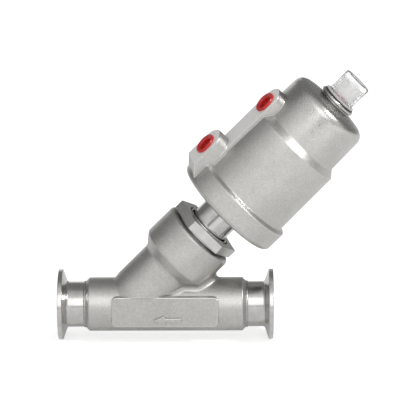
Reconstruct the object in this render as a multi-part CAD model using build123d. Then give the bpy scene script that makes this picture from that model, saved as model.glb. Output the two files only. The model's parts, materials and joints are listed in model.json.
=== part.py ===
from build123d import *
from math import cos, radians, sin, sqrt, tan
import os

# Angle seat valve: a Y-pattern cast body with clamp ends, opened by air and closed by springs.
# Millimetres. The origin is the centre of the outlet's sealing face. +X runs along the pipe to
# the inlet and +Z is up. Everything on the stem is drawn upright about the local Z axis, whose
# zero is where the stem axis crosses the pipe axis, and is tilted into place when it is written.

# Fits and gaps, all radial or axial
thread_gap = 0.05  # a thread drawn as a plain cylinder in its hole
running_gap = 0.05  # sliding seals, bushes and guides
free_gap = 0.4  # pieces that pass each other without touching
seal_squeeze_gap = 0.02  # a seal ring in its groove
groove_side_gap = 0.1  # beside an O-ring
push_gap = 0.25  # dust plug in its port

# Corner radii that turned pieces share, from a broken edge to a fillet beside a web
fine_edge = 0.3
turned_edge = 0.4
eased_edge = 0.5
lead_edge = 0.6
soft_edge = 0.8
web_fillet = 1.0
face_share = 0.97  # of a hexagon's flats, left flat between its two chamfers

# Pipe run
face_to_face = 104.0
outlet_to_stem = 33.7
stem_tilt = 45.0  # degrees from the pipe axis
casting_radius = 13.0
casting_bore = 9.6  # radius
weld_chamfer = 2.0

# Clamp ferrules
ferrule_length = 13.0
tube_radius = 11.0
tube_wall = 1.0
flange_radius = 17.0
flange_rim = 2.1
flange_taper = 20.0  # degrees, back of the flange
flange_root = 1.2
groove_radius = 13.75  # centre of the gasket groove
groove_depth = 1.0
groove_section = 1.9

# Inclined neck of the body, heights on the stem axis
neck_root = -5.0
neck_root_radius = 12.2
neck_radius = 14.2
neck_full = 8.0
neck_foot_blend = 3.0
neck_blend = 8.0
head_blend = 3.0
head_shoulder = 2.0
head_start = 27.6
head_cone = 5.5
head_radius = 18.7
head_top = 49.6
head_round = 1.6
crotch_fillet = 2.4

# Lettering panel on the front of the run, left bare
panel_start = 26.4
panel_length = 50.6
panel_height = 14.6
panel_drop = 0.3
panel_reach = 13.4  # its face from the pipe axis
panel_corner = 2.0

# Seat and chambers inside the body
seat_bore = 7.5
seat_lip_width = 1.7
seat_top = 4.5
seat_lip_height = 1.5
web_thickness = 4.5
chamber_radius = 11.0
gasket_depth = 11.6  # below the head's top
thread_radius = 14.0  # bonnet nut thread
mouth_chamfer = 1.0

# Bonnet: gasket, tube and nut
gasket_thickness = 1.0
gasket_inset = 0.3
nose_length = 6.0
collar_height = 4.0
bonnet_radius = 9.85
nut_flats = 31.2  # across flats
nut_turn = 10.0  # degrees, a corner from local +X
nut_lift = 1.1  # gap between the body's head and the hexagon
nut_height = 4.8
nut_recess_radius = 12.2
nut_recess = 1.6
nut_recess_draft = 0.6
box_radius = 7.0  # stuffing box
box_floor = 4.0

# Stem packing
stem_radius = 4.0
bush_height = 5.0
packing_count = 5
packing_height = 1.7
packing_rise = 1.1  # depth of the V
washer_height = 1.2
packing_wire = 1.3
packing_pitch = 2.9
packing_spring_length = 16.0
gland_height = 11.0
gland_seal = 0.85  # section radius of the gland's O-ring
gland_seal_drop = 4.0
ring_clip_height = 1.2
ring_clip_depth = 0.9
ring_clip_reach = 2.2
ring_clip_gap = 4.0
tube_land = 0.6  # above the clip

# Plug and seat disc
stem_thread = 3.0
disc_thickness = 2.5
disc_radius = 9.6
plug_radius = 10.3
plug_rim = 3.8
plug_cone = 5.5
plug_hub = 6.2
plug_hub_height = 3.0
plug_floor = 1.5
pin_radius = 1.0
pin_gap = 0.02
disc_washer_radius = 6.6
disc_washer_height = 1.3
nut_m6_flats = 10.0
disc_nut_height = 3.8
stem_end = 0.8  # thread showing past the disc nut

# Actuator housing
bonnet_showing = 11.6  # tube seen between the nut and the housing
rim_radius = 27.8
rim_height = 11.2
rim_round = 2.4
rim_step = 1.3
rim_edge = 0.7
rim_fillet = 0.9
shell_edge = 0.9
shell_radius = 25.2
shell_draft = 0.55
shell_length = 46.6  # rim and shell together
waist_height = 3.55
waist_fillet = 1.6
crown_radius = 21.6
crown_draft = 0.55
crown_length = 21.25
dome_rise = 2.0
dome_round = 5.0
cover_bore = 24.5
cover_seat = 11.5  # depth of the cover's bore
cylinder_bore = 22.0
cylinder_end = 2.7  # below the shell's top
spring_bore = 18.75
spring_bore_cone = 3.2
roof_wall = 3.0  # below the dome's edge
roof_fillet = 2.0
boss_radius = 9.5
boss_height = 1.6
boss_waist = 0.8
boss_undercut = 0.7
cap_thread = 7.0
cap_thread_depth = 3.4

# Air ports on the housing's side
port_turn = 15.0  # degrees toward the front
port_radius = 4.4
port_entry = 4.95
port_entry_depth = 2.0
low_port_rise = 17.3  # above the rim's foot
low_port_stand = 4.1  # its pad beyond the rim
low_port_depth = 7.6
low_boss_width = 14.4
low_boss_rise = 2.0
low_boss_drop = 9.7  # its foot below the port
low_boss_chamfer = 5.9
high_port_rise = 4.5  # above the shell's top
high_port_stand = 0.4  # its pad beyond the shell
high_port_depth = 5.6
high_boss_width = 12.8
high_boss_rise = 2.6
boss_edge = 0.6
airway_radius = 1.5
airway_drop = 2.4

# Dust plugs
plug_rim_radius = 5.45
plug_rim_height = 1.2
plug_shank = 1.8
plug_hollow = 3.1
plug_hollow_depth = 2.4
plug_lip_round = 0.35

# Lower cover
cover_inset = 0.6
cover_web = 4.6
cover_rim_width = 5.0
cover_hub = 13.5
cover_recess = 1.6
spanner_radius = 1.5
spanner_depth = 3.5
spanner_count = 4
cover_seal = 0.93
cover_seal_drop = 2.2
tube_seal = 0.9
tube_seal_rise = 4.0

# Piston
piston_rest_gap = 5.4  # above the lower cover
piston_height = 8.0
piston_gap = 0.4
piston_recess = 2.0
piston_hub = 8.4
piston_rim = 4.0
seal_height = 3.0
seal_depth = 2.8
seal_rise = 1.2
guide_height = 2.0
guide_depth = 1.1
guide_drop = 0.8
piston_washer_radius = 8.0
piston_washer_height = 1.4
piston_nut_height = 5.0
stem_top_thread = 4.6

# Springs and their seat
outer_spring_radius = 15.5
outer_wire = 3.2
outer_pitch = 7.4
inner_spring_radius = 10.5
inner_wire = 2.4
inner_pitch = 5.6
seat_plate = 1.5
seat_plate_radius = 17.8
seat_plate_edge = 1.3
seat_hub = 8.9
seat_hub_height = 3.0
seat_hub_bore = 6.8

# Position indicator
rod_radius = 1.9
rod_socket_radius = 4.6
rod_socket_height = 7.6
tip_radius = 4.0
tip_height = 4.2
tip_rest = 0.2
tip_cover = 1.9
cap_radius = 7.3
cap_bore = 5.5
cap_flange_radius = 8.4
cap_flange = 0.8
cap_height = 12.6
cap_roof = 2.7
cap_edge = 0.5
cap_gasket_radius = 8.7
cap_gasket = 0.6

# Heights on the stem axis that several pieces share
web_top = seat_top - seat_lip_height
gasket_seat = head_top - gasket_depth
collar_bottom = gasket_seat + gasket_thickness
collar_top = collar_bottom + collar_height
hex_bottom = head_top + nut_lift
hex_top = hex_bottom + nut_height
box_bottom = gasket_seat - nose_length + box_floor
packing_bottom = box_bottom + bush_height
packing_top = packing_bottom + packing_count * packing_height + packing_rise
packing_spring_bottom = packing_top + washer_height
gland_bottom = packing_spring_bottom + packing_spring_length
gland_top = gland_bottom + gland_height
rim_bottom = hex_top + bonnet_showing
cover_bottom = rim_bottom + cover_inset
cover_top = rim_bottom + cover_seat
clip_bottom = cover_top
tube_top = clip_bottom + ring_clip_height + tube_land
disc_top = seat_top + disc_thickness
plug_top = disc_top - plug_floor + plug_rim + plug_cone + plug_hub_height
stem_shoulder = disc_top + plug_floor
washer_bottom = seat_top - disc_washer_height
disc_nut_bottom = washer_bottom - disc_nut_height
piston_bottom = cover_top + piston_rest_gap
piston_top = piston_bottom + piston_height
spring_floor = piston_top - piston_recess
piston_nut_bottom = piston_top + piston_washer_height
socket_bottom = piston_nut_bottom + piston_nut_height
shell_top = rim_bottom + shell_length
cylinder_top = shell_top - cylinder_end
dome_edge = shell_top + waist_height + crown_length
roof = dome_edge - roof_wall
spring_roof = roof - seat_plate
dome_top = dome_edge + dome_rise
boss_top = dome_top + boss_waist + boss_height
cap_seat = boss_top + cap_gasket
tip_floor = boss_top - cap_thread_depth
cap_top = cap_seat + cap_height
low_port_height = rim_bottom + low_port_rise
low_boss_bottom = low_port_height - low_boss_drop
high_port_height = shell_top + high_port_rise

# Radii that several pieces share
bonnet_nut_thread = thread_radius - thread_gap
stem_hole = stem_radius + running_gap
stem_thread_hole = stem_thread + thread_gap
piston_radius = cylinder_bore - piston_gap
sliding_radius = cylinder_bore - running_gap
tube_hole = bonnet_radius + thread_gap
seat_lip_radius = seat_bore + seat_lip_width
low_port_reach = rim_radius + low_port_stand
high_port_reach = shell_radius + high_port_stand

stem_plane = Plane(
    origin=(outlet_to_stem, 0, 0),
    x_dir=(sin(radians(stem_tilt)), 0, -cos(radians(stem_tilt))),
    z_dir=(cos(radians(stem_tilt)), 0, sin(radians(stem_tilt))),
)
port_frame = Rot(0, 0, 180 + port_turn)  # turns local +X to where the ports face
upright = (Align.CENTER, Align.CENTER, Align.MIN)


# Solid of revolution about Z. Each point is radius, height and, where wanted, corner radius.
def turned(*outline):
    corners = [point[2] if len(point) > 2 else 0 for point in outline]
    points = [point[:2] for point in outline]
    section = make_face(FilletPolyline(*points, radius=corners, close=True))
    return revolve(Plane.XZ * section, Axis.Z)


def ring(inner, outer, bottom, top):
    return turned((inner, bottom), (outer, bottom), (outer, top), (inner, top))


def rod(radius, bottom, top):
    return Pos(0, 0, bottom) * Cylinder(radius, top - bottom, align=upright)


# O-ring of round section
def round_ring(centre_radius, section, height):
    return revolve(Plane.XZ * (Pos(centre_radius, height) * Circle(section)), Axis.Z)


# Groove for an O-ring, a little wider than its section
def seal_groove(inner, outer, section, height):
    half = section + groove_side_gap
    return ring(inner, outer, height - half, height + half)


# Hexagon with both faces turned to a 30 degree chamfer at the corners
def hexagon(flats, bottom, top, turn=0.0):
    corner = flats / sqrt(3)
    edge = flats / 2 * face_share
    drop = (corner - edge) * tan(radians(30))
    bar = Rot(0, 0, turn) * extrude(RegularPolygon(corner, 6), top - bottom)
    height = top - bottom
    cone = turned((0, 0), (edge, 0), (corner, drop), (corner, height - drop), (edge, height), (0, height))
    return Pos(0, 0, bottom) * (bar & cone)


# Compression spring of constant pitch with both ends ground flat
def spring(centre_radius, wire, pitch, bottom, top):
    coil = Helix(pitch, top - bottom, centre_radius, center=(0, 0, bottom))
    start = Plane(origin=coil @ 0, z_dir=coil % 0)
    swept = sweep(start * Circle(wire / 2), path=coil, is_frenet=True)
    return swept & ring(centre_radius - wire, centre_radius + wire, bottom, top)


# --- Pieces on the pipe run -----------------------------------------------------------------


# Ferrule with its sealing face at zero, a gasket groove in the face and a tapered back
def ferrule():
    bore = tube_radius - tube_wall
    back = flange_rim + (flange_radius - tube_radius) * tan(radians(flange_taper))
    body = turned(
        (bore, 0),
        (flange_radius, 0, fine_edge),
        (flange_radius, flange_rim, fine_edge),
        (tube_radius, back, flange_root),
        (tube_radius, ferrule_length),
        (bore, ferrule_length),
    )
    return body - round_ring(groove_radius, groove_section, groove_depth - groove_section)


def outlet_ferrule():
    return Rot(0, 90, 0) * ferrule()


def inlet_ferrule():
    return Pos(face_to_face, 0, 0) * Rot(0, -90, 0) * ferrule()


def casting_run():
    start, end = ferrule_length, face_to_face - ferrule_length
    return Rot(0, 90, 0) * turned(
        (0, start),
        (tube_radius, start),
        (tube_radius + weld_chamfer, start + weld_chamfer, turned_edge),
        (tube_radius + weld_chamfer, end - weld_chamfer, turned_edge),
        (tube_radius, end),
        (0, end),
    )


def casting_neck():
    return stem_plane.location * turned(
        (0, neck_root),
        (neck_root_radius, neck_root, neck_foot_blend),
        (neck_radius, neck_full, neck_blend),
        (neck_radius, head_start, head_blend),
        (head_radius, head_start + head_cone, head_shoulder),
        (head_radius, head_top, head_round),
        (0, head_top),
    )


# Bare panel for the casting's markings: flat, standing out of the run, cut into the neck's bulge
def panel():
    face = RectangleRounded(panel_length, panel_height, panel_corner)
    at = Pos(panel_start + panel_length / 2, 0, -panel_drop) * Rot(90, 0, 0)
    block = at * extrude(face, panel_reach)
    clear = at * Pos(0, 0, panel_reach) * extrude(face, neck_radius)
    return block, clear


# The passage on one side of the seat's web: a bore along the pipe that ends at a tilted plane
def passage(start, end, low, high):
    reach = 4 * casting_radius
    bore = Pos(start, 0, 0) * Rot(0, 90, 0) * rod(casting_bore, 0, end - start)
    slab = Pos(0, 0, low) * Box(2 * reach, 2 * reach, high - low, align=upright)
    return bore & (stem_plane.location * slab)


def valve_body():
    run, neck = casting_run(), casting_neck()
    block, clear = panel()
    outside = run + neck
    joint = new_edges(run, neck, combined=outside)
    outside = fillet(joint, crotch_fillet)
    outside = outside - clear + block
    far = face_to_face
    web_bottom = web_top - web_thickness
    outlet_side = passage(0, far / 2, -far, web_bottom)
    inlet_side = passage(0, far, web_top, far)
    cavity = turned(
        (0, web_top),
        (chamber_radius, web_top, web_fillet),
        (chamber_radius, gasket_seat),
        (thread_radius, gasket_seat),
        (thread_radius, head_top - mouth_chamfer),
        (thread_radius + mouth_chamfer, head_top),
        (0, head_top),
    )
    lip = ring(seat_bore, seat_lip_radius, web_top - eased_edge, seat_top)
    hole = rod(seat_bore, web_bottom - mouth_chamfer, seat_top)
    inside = stem_plane.location * (cavity + hole)
    return outside - outlet_side - inlet_side - inside + stem_plane.location * lip


def bonnet_gasket():
    return ring(
        chamber_radius + gasket_inset, thread_radius - gasket_inset, gasket_seat, collar_bottom
    )


# Union nut that holds the bonnet's collar down: thread below, hexagon above, recessed top
def bonnet_nut():
    thread = rod(bonnet_nut_thread, collar_top, hex_bottom)
    head = hexagon(nut_flats, hex_bottom, hex_top, nut_turn)
    bore = rod(bonnet_radius + free_gap, collar_top, hex_top)
    recess = turned(
        (0, hex_top - nut_recess),
        (nut_recess_radius - nut_recess_draft, hex_top - nut_recess),
        (nut_recess_radius, hex_top),
        (0, hex_top),
    )
    return thread + head - bore - recess


# --- Bonnet tube and stem packing -------------------------------------------------------------


# Nose and collar below, stuffing box inside, clip groove at the top
def bonnet_tube():
    groove_foot = bonnet_radius - ring_clip_depth
    return turned(
        (stem_radius + free_gap, gasket_seat - nose_length),
        (chamber_radius - free_gap, gasket_seat - nose_length, lead_edge),
        (chamber_radius - free_gap, collar_bottom),
        (thread_radius - free_gap, collar_bottom),
        (thread_radius - free_gap, collar_top, eased_edge),
        (bonnet_radius, collar_top),
        (bonnet_radius, clip_bottom),
        (groove_foot, clip_bottom),
        (groove_foot, clip_bottom + ring_clip_height),
        (bonnet_radius, clip_bottom + ring_clip_height),
        (bonnet_radius, tube_top, fine_edge),
        (box_radius, tube_top),
        (box_radius, box_bottom),
        (stem_radius + free_gap, box_bottom),
    )


def lower_guide_bush():
    return ring(stem_hole, box_radius - thread_gap, box_bottom, packing_bottom)


# Chevron rings, stacked with their lips toward the medium
def packing_rings():
    middle = (stem_hole + box_radius - thread_gap) / 2
    outer = box_radius - thread_gap
    rings = []
    for count in range(packing_count):
        low = packing_bottom + count * packing_height
        high = low + packing_height - seal_squeeze_gap
        rings.append(
            turned(
                (stem_hole, low),
                (middle, low + packing_rise),
                (outer, low),
                (outer, high),
                (middle, high + packing_rise),
                (stem_hole, high),
            )
        )
    return Compound(rings)


def packing_washer():
    return ring(stem_hole + running_gap, box_radius - thread_gap, packing_top, packing_spring_bottom)


def packing_spring():
    centre = (stem_radius + box_radius) / 2
    return spring(centre, packing_wire, packing_pitch, packing_spring_bottom, gland_bottom)


# Screwed gland: guides the stem and holds its O-ring
def gland_bush():
    body = ring(stem_hole, box_radius - thread_gap, gland_bottom, gland_top)
    foot = stem_radius + 2 * gland_seal + 2 * seal_squeeze_gap
    return body - seal_groove(stem_radius, foot, gland_seal, gland_top - gland_seal_drop)


def gland_o_ring():
    return round_ring(stem_radius + seal_squeeze_gap + gland_seal, gland_seal, gland_top - gland_seal_drop)


# Open clip in the tube's groove, above the lower cover
def tube_clip():
    inner = bonnet_radius - ring_clip_depth + seal_squeeze_gap
    top = clip_bottom + ring_clip_height - thread_gap
    clip = ring(inner, bonnet_radius + ring_clip_reach, clip_bottom, top)
    gap = Pos(bonnet_radius, 0, clip_bottom) * Box(3 * ring_clip_reach, ring_clip_gap, 4 * ring_clip_height)
    return clip - gap


# --- Stem, plug and seat disc ---------------------------------------------------------------------


def stem():
    bar = turned(
        (0, disc_nut_bottom - stem_end),
        (stem_thread, disc_nut_bottom - stem_end, turned_edge),
        (stem_thread, stem_shoulder),
        (stem_radius, stem_shoulder),
        (stem_radius, piston_bottom),
        (stem_thread, piston_bottom),
        (stem_thread, socket_bottom + stem_top_thread, turned_edge),
        (0, socket_bottom + stem_top_thread),
    )
    return bar - cross_hole(pin_radius)


# Cross hole through the plug's hub and the stem
def cross_hole(radius):
    height = plug_top - plug_hub_height / 2
    return Pos(0, 0, height) * Rot(90, 0, 0) * Cylinder(radius, 4 * plug_hub)


# Disc holder: a rim round the seat disc, a cone above and a hub pinned to the stem
def valve_plug():
    rim_low = disc_top - plug_floor
    rim_high = rim_low + plug_rim
    body = turned(
        (0, rim_low),
        (plug_radius, rim_low, fine_edge),
        (plug_radius, rim_high, lead_edge),
        (plug_hub, rim_high + plug_cone, web_fillet),
        (plug_hub, plug_top, turned_edge),
        (0, plug_top),
    )
    recess = rod(disc_radius + seal_squeeze_gap, rim_low, disc_top)
    bore = rod(stem_thread_hole, disc_top, stem_shoulder) + rod(stem_hole, stem_shoulder, plug_top)
    return body - recess - bore - cross_hole(pin_radius)


def plug_pin():
    height = plug_top - plug_hub_height / 2
    return Pos(0, 0, height) * Rot(90, 0, 0) * Cylinder(pin_radius - pin_gap, 2 * plug_hub - free_gap)


def seat_disc():
    return ring(stem_thread_hole, disc_radius, seat_top, disc_top)


def disc_washer():
    return ring(stem_thread_hole, disc_washer_radius, washer_bottom, seat_top)


def plain_nut(bottom, height):
    top = bottom + height
    return hexagon(nut_m6_flats, bottom, top) - rod(stem_thread_hole, bottom, top)


def disc_nut():
    return plain_nut(disc_nut_bottom, disc_nut_height)


# --- Actuator ---------------------------------------------------------------------------------


# A flat pad that stands out of the shell toward local +X: half round above, chamfered at its foot
def port_boss(reach, width, port_height, rise, foot, foot_chamfer=0.0):
    low, end = foot - foot_chamfer, port_height + rise
    outline = Pos(0, (low + end) / 2) * Rectangle(width, end - low) + Pos(0, end) * Circle(width / 2)
    block = extrude(Plane.YZ * outline, reach)
    if foot_chamfer:
        corner = Polyline((reach - foot_chamfer, low), (reach, low), (reach, foot), close=True)
        block -= extrude(Plane.XZ * make_face(corner), width, both=True)
    return fillet(block.faces().sort_by(Axis.X)[-1].edges(), boss_edge)


# Port seen from its pad's face inwards: entry for the plug's shank, thread, then an air way
def port_hole(reach, height, depth, inner):
    hole = rod(port_entry, reach - port_entry_depth, reach) + rod(port_radius, reach - depth, reach)
    hole += Pos(airway_drop, 0, 0) * rod(airway_radius, inner, reach - depth)
    return port_frame * Pos(0, 0, height) * Rot(0, 90, 0) * hole


def housing_outline():
    step = rim_bottom + rim_height
    shoulder = shell_top + waist_height
    boss_foot = dome_top + boss_waist
    return [
        (0, rim_bottom),
        (rim_radius, rim_bottom, rim_round),
        (rim_radius, step, rim_edge),
        (shell_radius, step + rim_step, rim_fillet),
        (shell_radius - shell_draft, shell_top, shell_edge),
        (crown_radius, shoulder, waist_fillet),
        (crown_radius - crown_draft, dome_edge, dome_round),
        (boss_radius - boss_undercut, dome_top, eased_edge),
        (boss_radius - boss_undercut, boss_foot),
        (boss_radius, boss_foot + fine_edge, fine_edge),
        (boss_radius, boss_top, soft_edge),
        (0, boss_top),
    ]


def housing_cavity():
    return turned(
        (0, rim_bottom),
        (cover_bore, rim_bottom),
        (cover_bore, cover_top),
        (cylinder_bore, cover_top),
        (cylinder_bore, cylinder_top),
        (spring_bore, cylinder_top + spring_bore_cone),
        (spring_bore, roof, roof_fillet),
        (0, roof),
    )


def actuator_housing():
    low_pad = port_boss(
        low_port_reach, low_boss_width, low_port_height, low_boss_rise, low_boss_bottom, low_boss_chamfer
    )
    high_pad = port_boss(
        high_port_reach, high_boss_width, high_port_height, high_boss_rise, low_port_height
    )
    shell = turned(*housing_outline()) + port_frame * low_pad + port_frame * high_pad
    shell -= housing_cavity()
    shell -= port_hole(low_port_reach, low_port_height, low_port_depth, cylinder_bore - airway_radius)
    shell -= port_hole(high_port_reach, high_port_height, high_port_depth, spring_bore - airway_radius)
    shell -= rod(rod_radius + running_gap, roof, tip_floor)
    return shell - rod(cap_thread, tip_floor, boss_top)


# Hollow push-in plug, drawn with the pad's face at zero
def dust_plug():
    return turned(
        (0, -plug_shank),
        (port_entry - push_gap, -plug_shank, fine_edge),
        (port_entry - push_gap, 0),
        (plug_rim_radius, 0),
        (plug_rim_radius, plug_rim_height, plug_lip_round),
        (plug_hollow, plug_rim_height, plug_lip_round),
        (plug_hollow, plug_rim_height - plug_hollow_depth),
        (0, plug_rim_height - plug_hollow_depth),
    )


def seated_plug(reach, height):
    return port_frame * Pos(reach, 0, height) * Rot(0, 90, 0) * dust_plug()


# Screwed cover that closes the cylinder and carries the bonnet tube
def lower_cover():
    rim = cover_bore - thread_gap
    inner = rim - cover_rim_width
    web_low = cover_top - cover_recess - cover_web
    body = turned(
        (tube_hole, cover_bottom),
        (cover_hub, cover_bottom, turned_edge),
        (cover_hub, web_low, web_fillet),
        (inner, web_low, web_fillet),
        (inner, cover_bottom, turned_edge),
        (rim, cover_bottom),
        (rim, cover_top),
        (inner, cover_top, eased_edge),
        (inner, cover_top - cover_recess, eased_edge),
        (cover_hub, cover_top - cover_recess, eased_edge),
        (cover_hub, cover_top, eased_edge),
        (tube_hole, cover_top),
    )
    body -= seal_groove(rim - 2 * cover_seal, cover_bore, cover_seal, cover_top - cover_seal_drop)
    body -= seal_groove(bonnet_radius, tube_hole + 2 * tube_seal, tube_seal, cover_bottom + tube_seal_rise)
    pitch = rim - cover_rim_width / 2
    for count in range(spanner_count):
        place = Rot(0, 0, 45 + count * 360 / spanner_count) * Pos(pitch, 0, 0)
        body -= place * rod(spanner_radius, cover_bottom, cover_bottom + spanner_depth)
    return body


def cover_o_ring():
    return round_ring(cover_bore - seal_squeeze_gap - cover_seal, cover_seal, cover_top - cover_seal_drop)


def tube_o_ring():
    return round_ring(bonnet_radius + seal_squeeze_gap + tube_seal, tube_seal, cover_bottom + tube_seal_rise)


def piston():
    inner = piston_radius - piston_rim
    body = turned(
        (stem_thread_hole, piston_bottom),
        (piston_hub, piston_bottom, turned_edge),
        (piston_hub, piston_bottom + piston_recess, soft_edge),
        (inner, piston_bottom + piston_recess, soft_edge),
        (inner, piston_bottom, turned_edge),
        (piston_radius, piston_bottom, eased_edge),
        (piston_radius, piston_top, eased_edge),
        (inner, piston_top, turned_edge),
        (inner, spring_floor),
        (piston_hub, spring_floor),
        (piston_hub, piston_top, turned_edge),
        (stem_thread_hole, piston_top),
    )
    seal_low = piston_bottom + seal_rise
    guide_high = piston_top - guide_drop
    body -= ring(piston_radius - seal_depth, cylinder_bore, seal_low, seal_low + seal_height)
    return body - ring(piston_radius - guide_depth, cylinder_bore, guide_high - guide_height, guide_high)


# U-shaped lip seal with its lips toward the air side
def piston_seal():
    low = piston_bottom + seal_rise + seal_squeeze_gap
    high = low + seal_height - 2 * seal_squeeze_gap
    inner = piston_radius - seal_depth + seal_squeeze_gap
    third = (sliding_radius - inner) / 3
    return turned(
        (inner, low),
        (inner + 0.8 * third, low),
        (inner + 1.3 * third, low + 0.5 * seal_height),
        (inner + 1.7 * third, low + 0.5 * seal_height),
        (inner + 2.2 * third, low),
        (sliding_radius, low),
        (sliding_radius, high, turned_edge),
        (inner, high, turned_edge),
    )


def piston_guide_ring():
    high = piston_top - guide_drop - seal_squeeze_gap
    inner = piston_radius - guide_depth + seal_squeeze_gap
    return ring(inner, sliding_radius, high - guide_height + 2 * seal_squeeze_gap, high)


def piston_washer():
    return ring(stem_thread_hole, piston_washer_radius, piston_top, piston_nut_bottom)


def piston_nut():
    return plain_nut(piston_nut_bottom, piston_nut_height)


def outer_spring():
    return spring(outer_spring_radius, outer_wire, outer_pitch, spring_floor, spring_roof)


def inner_spring():
    return spring(inner_spring_radius, inner_wire, inner_pitch, spring_floor, spring_roof)


# Plate under the roof that centres both springs
def spring_seat():
    return turned(
        (seat_hub_bore, spring_roof - seat_hub_height),
        (seat_hub, spring_roof - seat_hub_height, turned_edge),
        (seat_hub, spring_roof),
        (seat_plate_radius, spring_roof),
        (seat_plate_radius, roof, seat_plate_edge),
        (seat_hub_bore, roof),
    )


# --- Position indicator -------------------------------------------------------------------------


def indicator_rod():
    bar = turned(
        (0, socket_bottom),
        (rod_socket_radius, socket_bottom),
        (rod_socket_radius, socket_bottom + rod_socket_height, lead_edge),
        (rod_radius, socket_bottom + rod_socket_height),
        (rod_radius, tip_floor + tip_rest + tip_cover, fine_edge),
        (0, tip_floor + tip_rest + tip_cover),
    )
    return bar - rod(stem_thread_hole, socket_bottom, socket_bottom + stem_top_thread + free_gap)


def indicator_tip():
    low = tip_floor + tip_rest
    high = low + tip_height
    body = turned((0, low), (tip_radius, low, fine_edge), (tip_radius, high, eased_edge), (0, high))
    return body - rod(rod_radius + thread_gap, low, low + tip_cover)


def cap_gasket_ring():
    return ring(cap_thread + gasket_inset / 2, cap_gasket_radius, boss_top, cap_seat)


# Clear cap: screwed foot, small flange and a thick flat roof
def indicator_cap():
    foot = tip_floor + free_gap
    return turned(
        (cap_bore, foot),
        (cap_thread - thread_gap, foot, fine_edge),
        (cap_thread - thread_gap, cap_seat),
        (cap_flange_radius, cap_seat),
        (cap_flange_radius, cap_seat + cap_flange, fine_edge),
        (cap_radius, cap_seat + cap_flange),
        (cap_radius, cap_top, cap_edge),
        (0, cap_top),
        (0, cap_top - cap_roof),
        (cap_bore, cap_top - cap_roof, eased_edge),
    )


# --- Writing the pieces ---------------------------------------------------------------------------

on_pipe = {
    "valve_body": valve_body(),
    "outlet_ferrule": outlet_ferrule(),
    "inlet_ferrule": inlet_ferrule(),
}
on_stem = {
    "bonnet_gasket": bonnet_gasket(),
    "bonnet_nut": bonnet_nut(),
    "bonnet_tube": bonnet_tube(),
    "lower_guide_bush": lower_guide_bush(),
    "packing_rings": packing_rings(),
    "packing_washer": packing_washer(),
    "packing_spring": packing_spring(),
    "gland_bush": gland_bush(),
    "gland_o_ring": gland_o_ring(),
    "tube_clip": tube_clip(),
    "stem": stem(),
    "valve_plug": valve_plug(),
    "plug_pin": plug_pin(),
    "seat_disc": seat_disc(),
    "disc_washer": disc_washer(),
    "disc_nut": disc_nut(),
    "actuator_housing": actuator_housing(),
    "lower_cover": lower_cover(),
    "cover_o_ring": cover_o_ring(),
    "tube_o_ring": tube_o_ring(),
    "piston": piston(),
    "piston_seal": piston_seal(),
    "piston_guide_ring": piston_guide_ring(),
    "piston_washer": piston_washer(),
    "piston_nut": piston_nut(),
    "outer_spring": outer_spring(),
    "inner_spring": inner_spring(),
    "spring_seat": spring_seat(),
    "indicator_rod": indicator_rod(),
    "indicator_tip": indicator_tip(),
    "cap_gasket": cap_gasket_ring(),
    "indicator_cap": indicator_cap(),
    "lower_port_plug": seated_plug(low_port_reach, low_port_height),
    "upper_port_plug": seated_plug(high_port_reach, high_port_height),
}

os.makedirs("parts", exist_ok=True)
for name, shape in on_pipe.items():
    export_step(shape, f"parts/{name}.step")
for name, shape in on_stem.items():
    export_step(stem_plane.location * shape, f"parts/{name}.step")
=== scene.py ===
import bpy
import json
from math import atan2, cos, pi, radians, sin
from mathutils import Matrix, Vector


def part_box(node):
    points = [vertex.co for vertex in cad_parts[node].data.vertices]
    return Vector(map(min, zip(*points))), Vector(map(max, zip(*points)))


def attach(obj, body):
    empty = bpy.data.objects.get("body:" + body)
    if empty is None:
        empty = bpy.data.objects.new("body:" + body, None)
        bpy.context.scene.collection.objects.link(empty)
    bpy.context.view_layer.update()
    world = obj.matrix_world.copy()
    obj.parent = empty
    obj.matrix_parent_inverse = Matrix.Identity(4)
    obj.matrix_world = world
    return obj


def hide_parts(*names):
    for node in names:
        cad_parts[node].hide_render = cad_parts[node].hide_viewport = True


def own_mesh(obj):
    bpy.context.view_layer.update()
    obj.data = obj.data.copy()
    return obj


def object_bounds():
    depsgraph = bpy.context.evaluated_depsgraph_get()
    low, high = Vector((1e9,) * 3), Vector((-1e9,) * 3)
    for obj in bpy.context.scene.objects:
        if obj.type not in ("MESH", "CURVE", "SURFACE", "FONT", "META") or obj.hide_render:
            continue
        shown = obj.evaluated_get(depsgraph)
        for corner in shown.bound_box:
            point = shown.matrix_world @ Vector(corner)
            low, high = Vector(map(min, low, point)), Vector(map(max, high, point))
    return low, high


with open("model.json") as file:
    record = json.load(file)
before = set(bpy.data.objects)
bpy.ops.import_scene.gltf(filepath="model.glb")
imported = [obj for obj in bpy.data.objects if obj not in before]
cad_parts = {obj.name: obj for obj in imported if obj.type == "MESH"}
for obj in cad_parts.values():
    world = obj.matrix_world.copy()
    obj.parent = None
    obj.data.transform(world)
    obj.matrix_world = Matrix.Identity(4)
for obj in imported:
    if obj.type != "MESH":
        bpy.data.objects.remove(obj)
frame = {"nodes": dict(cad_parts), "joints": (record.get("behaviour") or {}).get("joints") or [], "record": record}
cadBox = [list(corner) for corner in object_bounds()]
nodes = frame["nodes"]
slotOf = {part["node"]: part["material_slot"] for part in frame["record"]["subparts"]}
bpy.context.scene.view_settings.view_transform = "Standard"

mm = 0.001
floorHeight = cadBox[0][2]
swivel = next(joint for joint in frame["joints"] if joint["name"] == "actuator_swivel")
stemAxis = Vector(swivel["axis"])
stemTilt = atan2(stemAxis.z, stemAxis.x)
swivelPoint = Vector(swivel["pos_m"])
stemFoot = swivelPoint - stemAxis * (swivelPoint.z / stemAxis.z)  # where it crosses the pipe axis
stemPlace = Matrix.Translation(stemFoot) @ Matrix.Rotation(pi / 2 - stemTilt, 4, "Y")

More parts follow.
